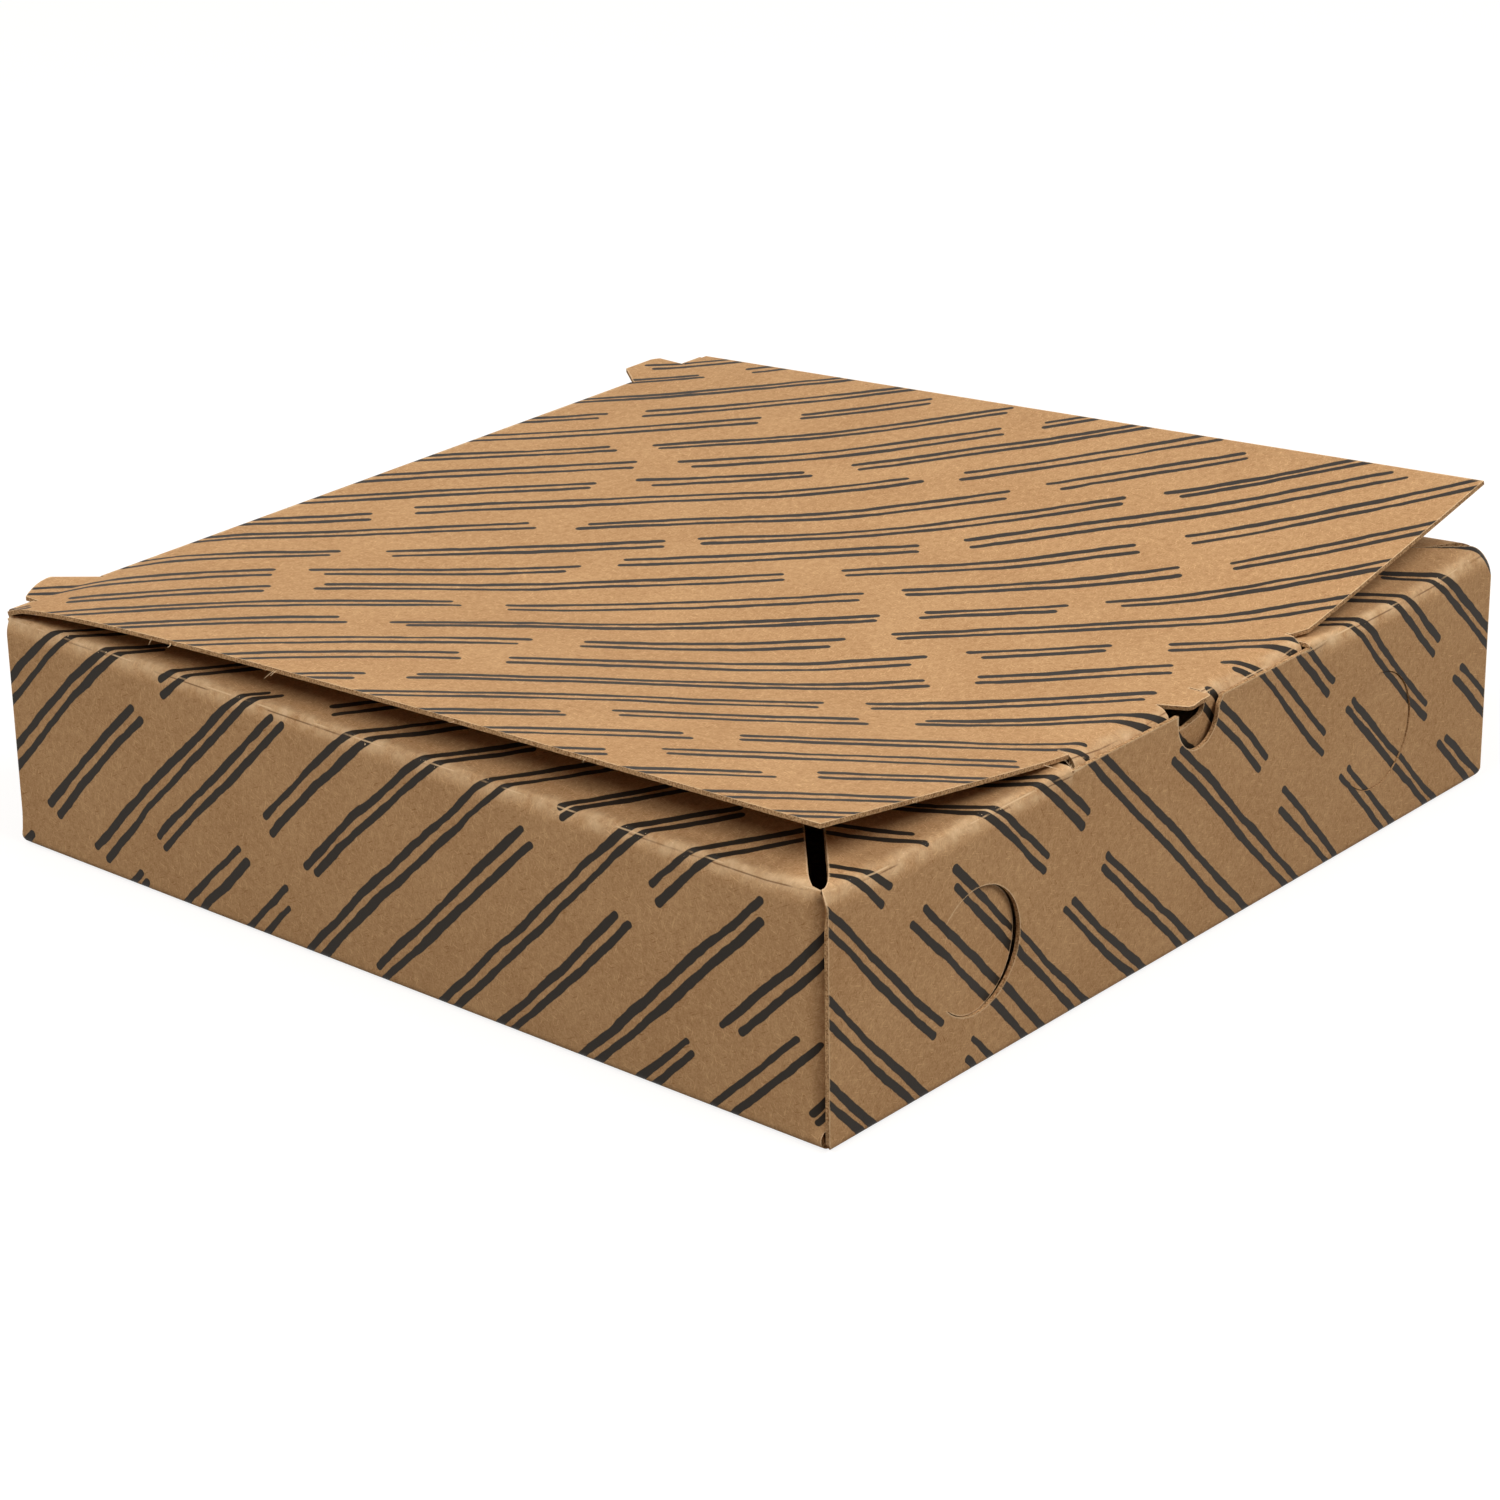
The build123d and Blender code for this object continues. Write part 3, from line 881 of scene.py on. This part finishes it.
for side, chord_s in vent_chords.items():
    flap_radius = vent_radius - vent_kerf
    loop = vent_loop(chord_s, flap_radius, vent_chord - crease_half)
    low, high = loop.min(axis=0), loop.max(axis=0)
    grid = lattice(stations((low[0], high[0], 2 * MM))[1:-1], stations((low[1], high[1], 2 * MM))[1:-1])
    flat, triangles = cut_sheet([loop], grid, 1 * MM)
    places, plain = fold_flap(flat, side), np.full(len(flat), far_off)
    edge = cut_distance(flat, [loop], [(0, chord_s + crease_half)]) if side == "left" else plain
    flap = board_piece(f"box_vent_flap_{side}", flat, triangles, places, plain, edge)
    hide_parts(f"vent_flap_{side}")
    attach(flap, f"vent_{side}")

    flat, triangles = strip_of_board(np.linspace(-crease_half, crease_half, 7), np.linspace(-1, 1, 12))
    tray_tall = math.sqrt(vent_radius**2 - (vent_chord + crease_half) ** 2)
    flap_tall = math.sqrt(flap_radius**2 - (vent_chord - crease_half) ** 2)
    flat[:, 1] *= np.interp(flat[:, 0], [-crease_half, crease_half], [tray_tall, flap_tall])
    flat += (chord_s, front_t(vent_z))
    places, plain = fold_flap(flat, side), np.full(len(flat), far_off)
    strip = board_piece(f"box_vent_crease_{side}", flat, triangles, places, plain, plain)
    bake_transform(strip)


# Lid


def lid_outline():
    """The lid's cut line, as (s, length from its crease): rear edge with the ears, wings, and the tuck tab.
    The ears' far corners are worn off along a curve of power 1.5, the left one's most."""
    tip = lid_start - ear_tip
    straight = -hinge_run
    taper_end = tab_end - tab_taper_height
    share = np.linspace(1, 0, 6)
    halves = []
    right = (1, tab_right, wing_chamfer_right, ear_wear_right)
    left = (-1, -tab_left, wing_chamfer_left, ear_wear_left)
    for side, tab_side, chamfer, worn in (right, left):
        half = cut(
            (ear_near, 0),
            (ear_near, straight),
            (ear_near + ear_slope, tip),
            np.stack([ear_far - worn * share, tip + worn / 2 * (1 - share) ** 1.5], 1),
            (ear_far, 0),
            (lid_half, 0),
            (lid_half, wing_end),
            (tab_side + slit + 2 * chamfer, wing_end),
            (tab_side + slit, wing_end - chamfer),
            (tab_side + slit, tab_root + tab_slit),
            (tab_side - slit, tab_root + tab_slit),
            upright(tab_side - slit, np.linspace(tab_root + 2 * MM, taper_end, 24)),
            (tab_side - tab_taper, tab_end),
        )
        halves.append(half * (side, 1))
    return cut(halves[0], halves[1][::-1])


def lip_cut():
    """The cut round the lip: the hole that it leaves in the bend, and the lip standing inside it."""
    root, tip, end = tab_root + lip_root, tab_root + lip_length, tab_root + lip_hole
    left, right, low = lip_left - lip_kerf, lip_right + lip_kerf, end - hole_corner
    wall = np.linspace(root, low, 16)
    return cut(
        upright(left, wall),
        arc((left + hole_corner, low), hole_corner, math.pi, QUARTER, 6)[1:],
        arc((right - hole_corner, low), hole_corner, QUARTER, 0, 6)[:-1],
        upright(right, wall[::-1]),
        (lip_right, root),
        arc((lip_right - lip_corner, tip - lip_corner), lip_corner, 0, QUARTER, 7),
        (lip_left + lip_slope + lip_corner, tip),
        (lip_left + lip_slope, tip - lip_corner / 2),
        (lip_left, root),
    )


def within_lip(s):
    """Whether each s lies within the lip's width."""
    return (s > lip_left - lip_kerf / 2) & (s < lip_right + lip_kerf / 2)


def fold_lid(flat):
    """Lays the lid level, bends its tab down behind the front wall and leaves the lip level.

    Beside the lip the bend starts at the lip's root, to its right later still, and at the tab's ends late as
    well. A late bend is tighter, so that it ends in the same place. The lip's left corner is bent down along
    a slanting line. The wings lift, and the front slips to the right, less so at the corners."""
    s, length = flat.T
    lip = within_lip(s) & (length < tab_root + lip_length + lip_kerf)
    level = lip | (s < tab_left) | (s > tab_right)
    by_lip = 1 - rise(np.maximum(lip_left - s, lip_haste * (s - lip_right)), *lip_ease)
    by_end = 1 - rise(np.minimum(s - tab_left, tab_right - s), *end_ease)
    by_crest = rise(s, lip_left, lip_right) * (1 - rise(s - lip_right, *crest_ease))
    late = np.maximum(lip_root * np.maximum(by_lip, by_end), lip_crest * by_crest)
    bends = [(tab_root + late, tab_fold - late / math.tan(tab_turn / 2), tab_turn)]
    out, down = np.where(level, [length, length * 0], folded(length, bends))
    slant = math.atan2(lip_length - lip_root, lip_slope + lip_dent)
    beyond = (lip_left - s) * math.sin(slant) + (length - tab_root - lip_root) * math.cos(slant)
    down = down + lip * math.tan(lip_dent_turn) * np.maximum(beyond, 0)
    v = out / wing_end
    slip = lid_skew * np.clip(v, 0, 1) * (1 - skew_lean * s / lid_half - skew_fade * (s / lid_half) ** 2)
    return np.stack([s + slip, lid_start - out, lid_top - down + wing_lift(s, v)], 1)


def lid_grid():
    """Lattice of the lid: wide on the panel, close rows over the tab's bend."""
    across = stations((-lid_half, lid_half, 3 * MM), (lip_left, lip_right, 1 * MM))
    bend = tab_root + tab_fold * tab_turn
    along = stations(
        (lid_start - ear_tip, 0, 1 * MM),
        (0, tab_root, 5 * MM),
        (tab_root, bend, 0.4 * MM),
        (bend, tab_end, 3 * MM),
    )
    return lattice(across[1:-1], along[1:-1])


loops = [lid_outline(), lip_cut()]
flat, triangles = cut_sheet(loops, lid_grid(), 4 * MM)
on_tab = (flat[:, 0] > tab_left) & (flat[:, 0] < tab_right) & ~within_lip(flat[:, 0])
crease = np.where(on_tab, flat[:, 1] - tab_root - tab_fold, far_off)
edge = cut_distance(flat, loops, [(1, 0)])
lid = board_piece("box_lid", flat + (0, lid_t), triangles, fold_lid(flat), crease, edge)
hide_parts("lid")
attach(lid, "lid")


def fold_crease(flat):
    """The bending strip between rear wall and lid: up the wall, a quarter turn, and level into the lid."""
    up, ahead = folded(flat[:, 1], [(hinge_run, hinge_fold, QUARTER)])
    return np.stack([flat[:, 0], half_depth - ahead, hinge_top + up], 1)


near, far = ear_near - ear_clearance, ear_far + ear_clearance
crease_runs = {"left": (-rear_half, -far), "middle": (-near, near), "right": (far, rear_half)}
for name, (first, last) in crease_runs.items():
    flat, triangles = strip_of_board(stations((first, last, 4 * MM)), np.linspace(0, crease_length, 12))
    crease = flat[:, 1] - crease_length / 2
    places, whole = fold_crease(flat), np.full(len(flat), far_off)
    strip = board_piece(f"box_lid_crease_{name}", flat + (0, crease_t), triangles, places, crease, whole)
    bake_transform(strip)


# Torn fibres


fibre_radius = 0.08 * MM
fibre_taper = 0.6  # share of its width that a thread loses up to its tip
fibre_curl = 0.4
tuft_count = 18  # threads at the torn end of the front rim
tuft_spread = (0.9 * MM, 0.4 * MM, 0.5 * MM)
tuft_fan = (0.8, 0.6, 0.5)
tuft_heading = (0, -0.2, 0.6)
tuft_lengths = (0.7 * MM, 2 * MM)
side_count = 11  # threads along the lid's left edge and along its front edge
front_count = 5
hair_count = side_count + front_count
hair_fan = 0.6
hair_lengths = (0.5 * MM, 1.4 * MM)


def unit(vectors):
    """Vectors scaled to length 1."""
    return vectors / np.linalg.norm(vectors, axis=1, keepdims=True)


def fibres(name, roots, headings, lengths):
    """Loose fibres as three-sided tapering threads. A thread's line is its root, plus its length times
    heading u plus curl u squared for u from 0 to 1, with a curl of its own."""
    count, rings, sides = len(roots), 6, 3
    chance = np.random.default_rng(count)
    curl = chance.normal(0, fibre_curl, (count, 1, 3))
    u = np.linspace(0, 1, rings)[:, None]
    line = roots[:, None] + lengths[:, None, None] * (headings[:, None] * u + curl * u * u)
    aside = unit(np.cross(headings, chance.normal(size=(count, 3))))
    other = np.cross(headings, aside)
    angle = np.arange(sides)[:, None] * math.tau / sides
    ring = aside[:, None] * np.cos(angle) + other[:, None] * np.sin(angle)
    width = fibre_radius * (1 - fibre_taper * u)
    points = line[:, :, None] + width[:, None] * ring[:, None]
    index = np.arange(count * rings * sides).reshape(count, rings, sides)
    turned = np.roll(index, -1, axis=2)
    quads = np.stack([index[:, :-1], turned[:, :-1], turned[:, 1:], index[:, 1:]], -1).reshape(-1, 4)
    caps = np.concatenate([index[:, 0, ::-1], index[:, -1]])
    mesh = bpy.data.meshes.new(name)
    mesh.from_pydata(points.reshape(-1, 3).tolist(), [], quads.tolist() + caps.tolist())
    mesh.materials.append(loose_fibre)
    piece = placed(name, mesh)
    return piece


chance = np.random.default_rng(5)
torn_at = np.array([opening_left, tray_low.y + 0.5 * MM, wall_height - 0.4 * MM])
roots = torn_at + chance.uniform(-1, 1, (tuft_count, 3)) * tuft_spread
headings = unit(chance.uniform(-1, 1, (tuft_count, 3)) * tuft_fan + tuft_heading)
tuft = fibres("box_torn_fibres", roots, headings, chance.uniform(*tuft_lengths, tuft_count))
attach(tuft, "tray")

side_hairs = upright(-lid_half, chance.uniform(0.2, 0.98, side_count) * wing_end)
front_hairs = upright(wing_end, chance.uniform(-lid_half, tab_left, front_count))[:, ::-1]
roots = fold_lid(np.concatenate([side_hairs, front_hairs])) - (0, 0, board / 2)
headings = np.repeat([(-0.7, 0.0, -0.4), (0.0, -0.7, -0.4)], (side_count, front_count), axis=0)
headings = unit(headings + chance.uniform(-hair_fan, hair_fan, (hair_count, 3)))
hairs = fibres("box_lid_fibres", roots, headings, chance.uniform(*hair_lengths, hair_count))
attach(hairs, "lid")


# Camera, lights and floor


def show_camera():
    """The photograph's view: a long lens from the front left, a little above the box."""
    azimuth, elevation, roll = map(math.radians, (-49.238, 22.873, -0.875))
    distance, lens, target = 0.84975, 102.28, Vector((0.02093, 0.02, 0))
    back = Vector((
        math.sin(azimuth) * math.cos(elevation),
        -math.cos(azimuth) * math.cos(elevation),
        math.sin(elevation),
    ))
    right = Vector((0, 0, 1)).cross(back).normalized()
    turned = Matrix.Rotation(-roll, 3, -back)
    right = turned @ right
    camera = placed("camera", bpy.data.cameras.new("camera"))
    camera.data.lens = lens
    camera.data.sensor_width = 36
    facing = Matrix((right, back.cross(right), back)).transposed().to_4x4()
    camera.matrix_world = Matrix.Translation(target + distance * back) @ facing
    bpy.context.scene.camera = camera


def soft_lamp(name, place, size, power, colour):
    """A square soft box that faces the middle of the box."""
    lamp = placed(name, bpy.data.lights.new(name, "AREA"))
    lamp.data.size = size
    lamp.data.energy = power
    lamp.data.color = linear(colour)[:3]
    lamp.location = place
    lamp.rotation_mode = "QUATERNION"
    lamp.rotation_quaternion = Vector(place).to_track_quat("Z", "Y")


def seen_white(add):
    """1 for rays that show the surroundings themselves: from the camera, off gloss and through glass."""
    shown = 0.0
    for kind in ("Camera", "Glossy", "Transmission"):
        ray = add("LightPath", out=f"Is {kind} Ray")
        shown = add("Math MAXIMUM", {0: ray, 1: shown})
    return shown


def studio():
    """A white sweep: a matt floor that keeps the shadow, a sky that is seen white but lights the box only
    from high up, two soft boxes at the left and the front, and a weak wide one overhead."""
    world = bpy.data.worlds.new("studio")
    bpy.context.scene.world = world
    world.use_nodes = True
    world.node_tree.nodes.clear()
    add = partial(add_node, world.node_tree)
    shown = seen_white(add)
    heading = add("TexCoord", out="Generated")
    height = add("SeparateXYZ", {"Vector": heading}, "Z")
    dome = {"Value": height, "From Min": 0.15, "From Max": 0.6, "To Max": 0.25}
    dome = add("MapRange", dome, interpolation_type="SMOOTHSTEP")
    strength = add("Mix", {"Factor": shown, "A": dome, "B": 1.0})
    colour = add("Mix", {0: shown, 6: linear(sky_hex), 7: linear(white_hex)}, 2, data_type="RGBA")
    sky = add("Background", {"Color": colour, "Strength": strength})
    add("OutputWorld", {"Surface": sky}, None)

    material, add = new_material("floor_matt")
    paint = add("BsdfDiffuse", {"Color": linear(floor_hex)})
    glow = add("Emission", {"Color": linear(glow_hex), "Strength": seen_white(add)})
    both = add("AddShader", {0: paint, 1: glow})
    add("OutputMaterial", {"Surface": both}, None)
    reach, below = 4.0, -0.2 * MM
    mesh = bpy.data.meshes.new("floor")
    corners = [(x * reach, y * reach, below) for x, y in ((-1, -1), (1, -1), (1, 1), (-1, 1))]
    mesh.from_pydata(corners, [], [(0, 1, 2, 3)])
    mesh.materials.append(material)
    floor = placed("floor", mesh)
    soft_lamp("overhead", (0, 0, 2.2), 2.4, 8.7, white_hex)
    soft_lamp("left", (-1.273, 0.179, 1.532), 0.9, 21.2, lamp_hex)
    soft_lamp("front", (0.179, -1.273, 1.532), 0.9, 24.2, lamp_hex)


show_camera()
studio()
bpy.context.scene.view_settings.view_transform = "Standard"
